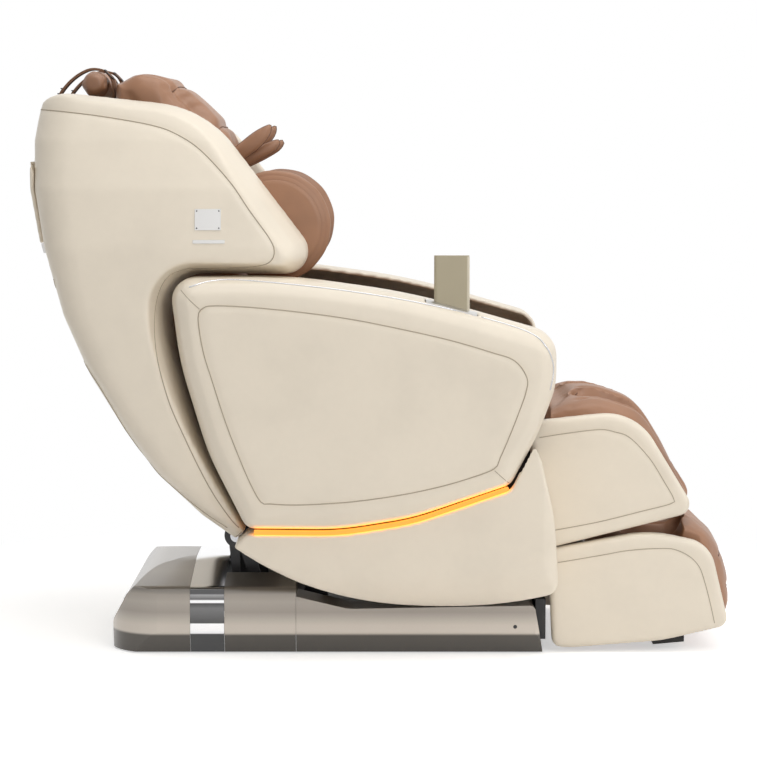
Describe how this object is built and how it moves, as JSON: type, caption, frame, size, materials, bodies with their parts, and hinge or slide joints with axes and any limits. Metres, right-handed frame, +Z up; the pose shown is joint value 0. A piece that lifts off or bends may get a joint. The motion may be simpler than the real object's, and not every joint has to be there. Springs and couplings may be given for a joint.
{
  "type": "massage chair",
  "caption": "Reclining massage chair with a padded back between tall side wings, swinging arm pods, a lifting calf and foot section and a low base.",
  "frame": {"origin": "floor, under the middle of the chair's box", "axes": "+X to the sitter's front, +Y to the sitter's left, +Z up"},
  "size_m": [1.4846, 0.92, 1.2355],
  "materials": {
    "dark_metal": "satin",
    "bright_steel": "satin",
    "champagne": "metallic gloss",
    "chrome": "polished",
    "dark_plastic": "matte",
    "tyre": "matte",
    "rubber": "matte",
    "cream_leather": "semi-gloss",
    "brown_leather": "satin",
    "strap_web": "satin",
    "amber_lens": "glossy",
    "khaki_plastic": "satin",
    "screen_glass": "gloss"
  },
  "bodies": {
    "base": {"base_frame": "dark_metal", "slide_rails": "bright_steel", "base_rear_cover": "champagne", "base_chrome_band": "chrome", "base_middle_cover": "champagne", "base_front_cover": "champagne", "front_skirt": "dark_plastic", "levelling_feet": "dark_plastic", "power_inlet": "dark_plastic"},
    "wheel_right": {"transport_wheel_right": "tyre"},
    "wheel_left": {"transport_wheel_left": "tyre"},
    "rocker": {"power_rocker": "dark_plastic"},
    "carriage": {"seat_carriage": "dark_metal", "pivot_shaft": "bright_steel"},
    "seat": {"seat_frame": "dark_metal", "seat_hull": "cream_leather", "seat_cushion": "brown_leather", "led_strips": "amber_lens", "door_pillars": "dark_metal", "knee_shaft": "bright_steel", "control_box": "dark_plastic", "air_pump": "dark_plastic"},
    "backrest": {"back_frame": "dark_metal", "back_shell": "cream_leather", "rear_cover": "cream_leather", "rear_trim": "chrome", "wing_right": "cream_leather", "wing_left": "cream_leather", "back_cushion": "brown_leather", "head_cushion": "brown_leather", "head_pillow": "brown_leather", "pillow_straps": "strap_web", "shoulder_pads": "brown_leather", "ear_pads": "brown_leather", "badge_plates": "chrome", "lead_screw": "bright_steel"},
    "massage_carriage": {"massage_housing": "dark_metal"},
    "massage_arms": {"massage_arms": "dark_metal"},
    "upper_rollers": {"upper_rollers": "rubber"},
    "lower_rollers": {"lower_rollers": "rubber"},
    "door_right": {"arm_pod_right": "cream_leather", "arm_pad_right": "brown_leather", "remote_pocket": "chrome"},
    "door_left": {"arm_pod_left": "cream_leather", "arm_pad_left": "brown_leather"},
    "remote": {"remote_body": "khaki_plastic", "remote_screen": "screen_glass"},
    "legrest": {"calf_frame": "dark_metal", "calf_panels": "cream_leather", "calf_cushion": "brown_leather"},
    "footrest": {"foot_panels": "cream_leather", "foot_cushion": "brown_leather", "foot_rods": "bright_steel", "foot_pads": "rubber"},
    "tilt_tube": {"tilt_actuator": "dark_plastic"},
    "tilt_rod": {"tilt_rod": "bright_steel"},
    "recline_tube": {"recline_actuator": "dark_plastic"},
    "recline_rod": {"recline_rod": "bright_steel"},
    "leg_tube": {"leg_actuator": "dark_plastic"},
    "leg_rod": {"leg_rod": "bright_steel"}
  },
  "joints": [
    {"name": "wheel_right_spin", "type": "hinge", "parent": "base", "child": "wheel_right", "pos_m": [-0.52, -0.215, 0.0246], "axis": [0, 1, 0], "continuous": true},
    {"name": "wheel_left_spin", "type": "hinge", "parent": "base", "child": "wheel_left", "pos_m": [-0.52, 0.215, 0.0246], "axis": [0, 1, 0], "continuous": true},
    {"name": "rocker_click", "type": "hinge", "parent": "base", "child": "rocker", "pos_m": [-0.576, 0.105, 0.038], "axis": [0, 0, 1], "range_deg": [-8, 8]},
    {"name": "seat_slide", "type": "slide", "parent": "base", "child": "carriage", "axis": [1, 0, 0], "range_m": [0, 0.1]},
    {"name": "seat_tilt", "type": "hinge", "parent": "carriage", "child": "seat", "pos_m": [-0.312, 0, 0.24], "axis": [0, -1, 0], "range_deg": [0, 13]},
    {"name": "backrest_recline", "type": "hinge", "parent": "seat", "child": "backrest", "pos_m": [-0.312, 0, 0.24], "axis": [0, -1, 0], "range_deg": [0, 42]},
    {"name": "massage_travel", "type": "slide", "parent": "backrest", "child": "massage_carriage", "axis": [-0.3584, 0, 0.9336], "range_m": [0, 0.26]},
    {"name": "massage_rock", "type": "hinge", "parent": "massage_carriage", "child": "massage_arms", "pos_m": [-0.37149, 0, 0.50102], "axis": [0, 1, 0], "range_deg": [-8, 8]},
    {"name": "upper_roller_spin", "type": "hinge", "parent": "massage_arms", "child": "upper_rollers", "pos_m": [-0.35376, 0, 0.59994], "axis": [0, 1, 0], "continuous": true},
    {"name": "lower_roller_spin", "type": "hinge", "parent": "massage_arms", "child": "lower_rollers", "pos_m": [-0.29213, 0, 0.43936], "axis": [0, 1, 0], "continuous": true},
    {"name": "door_right_swing", "type": "hinge", "parent": "seat", "child": "door_right", "pos_m": [-0.34, -0.415, 0.64], "axis": [0, -0.0499, -0.9988], "range_deg": [0, 20]},
    {"name": "door_left_swing", "type": "hinge", "parent": "seat", "child": "door_left", "pos_m": [-0.34, 0.415, 0.64], "axis": [0, -0.0499, 0.9988], "range_deg": [0, 20]},
    {"name": "remote_lift", "type": "slide", "parent": "door_right", "child": "remote", "axis": [0, 0, 1], "range_m": [0, 0.08]},
    {"name": "legrest_lift", "type": "hinge", "parent": "seat", "child": "legrest", "pos_m": [0.325, 0, 0.44], "axis": [0, -1, 0], "range_deg": [0, 55]},
    {"name": "footrest_slide", "type": "slide", "parent": "legrest", "child": "footrest", "axis": [0.208, 0, -0.9781], "range_m": [0, 0.11]},
    {"name": "tilt_tube_turn", "type": "hinge", "parent": "carriage", "child": "tilt_tube", "pos_m": [-0.15, 0, 0.106], "axis": [0, -1, 0], "range_deg": [0, 17.1]},
    {"name": "tilt_rod_stroke", "type": "slide", "parent": "tilt_tube", "child": "tilt_rod", "axis": [0.9516, 0, 0.3074], "range_m": [0, 0.043]},
    {"name": "recline_tube_turn", "type": "hinge", "parent": "seat", "child": "recline_tube", "pos_m": [-0.044, -0.095, 0.231], "axis": [0, -1, 0], "range_deg": [0, 7.9]},
    {"name": "recline_rod_stroke", "type": "slide", "parent": "recline_tube", "child": "recline_rod", "axis": [-0.9624, 0, 0.2715], "range_m": [0, 0.0362]},
    {"name": "leg_tube_turn", "type": "hinge", "parent": "seat", "child": "leg_tube", "pos_m": [0.226, 0, 0.212], "axis": [0, -1, 0], "range_deg": [-1.5, 0]},
    {"name": "leg_rod_stroke", "type": "slide", "parent": "leg_tube", "child": "leg_rod", "axis": [0.6446, 0, 0.7645], "range_m": [0, 0.0741]}
  ],
  "couplings": [
    {"joint": "seat_slide", "follows": "backrest_recline", "m_per_rad": 0.136},
    {"joint": "footrest_slide", "follows": "legrest_lift", "m_per_rad": 0.1145},
    {"joint": "tilt_tube_turn", "follows": "seat_tilt", "ratio": 1.3073},
    {"joint": "tilt_rod_stroke", "follows": "seat_tilt", "m_per_rad": 0.18858},
    {"joint": "recline_tube_turn", "follows": "backrest_recline", "ratio": 0.1862},
    {"joint": "recline_rod_stroke", "follows": "backrest_recline", "m_per_rad": 0.04919},
    {"joint": "leg_tube_turn", "follows": "legrest_lift", "ratio": -0.0255},
    {"joint": "leg_rod_stroke", "follows": "legrest_lift", "m_per_rad": 0.07708}
  ]
}
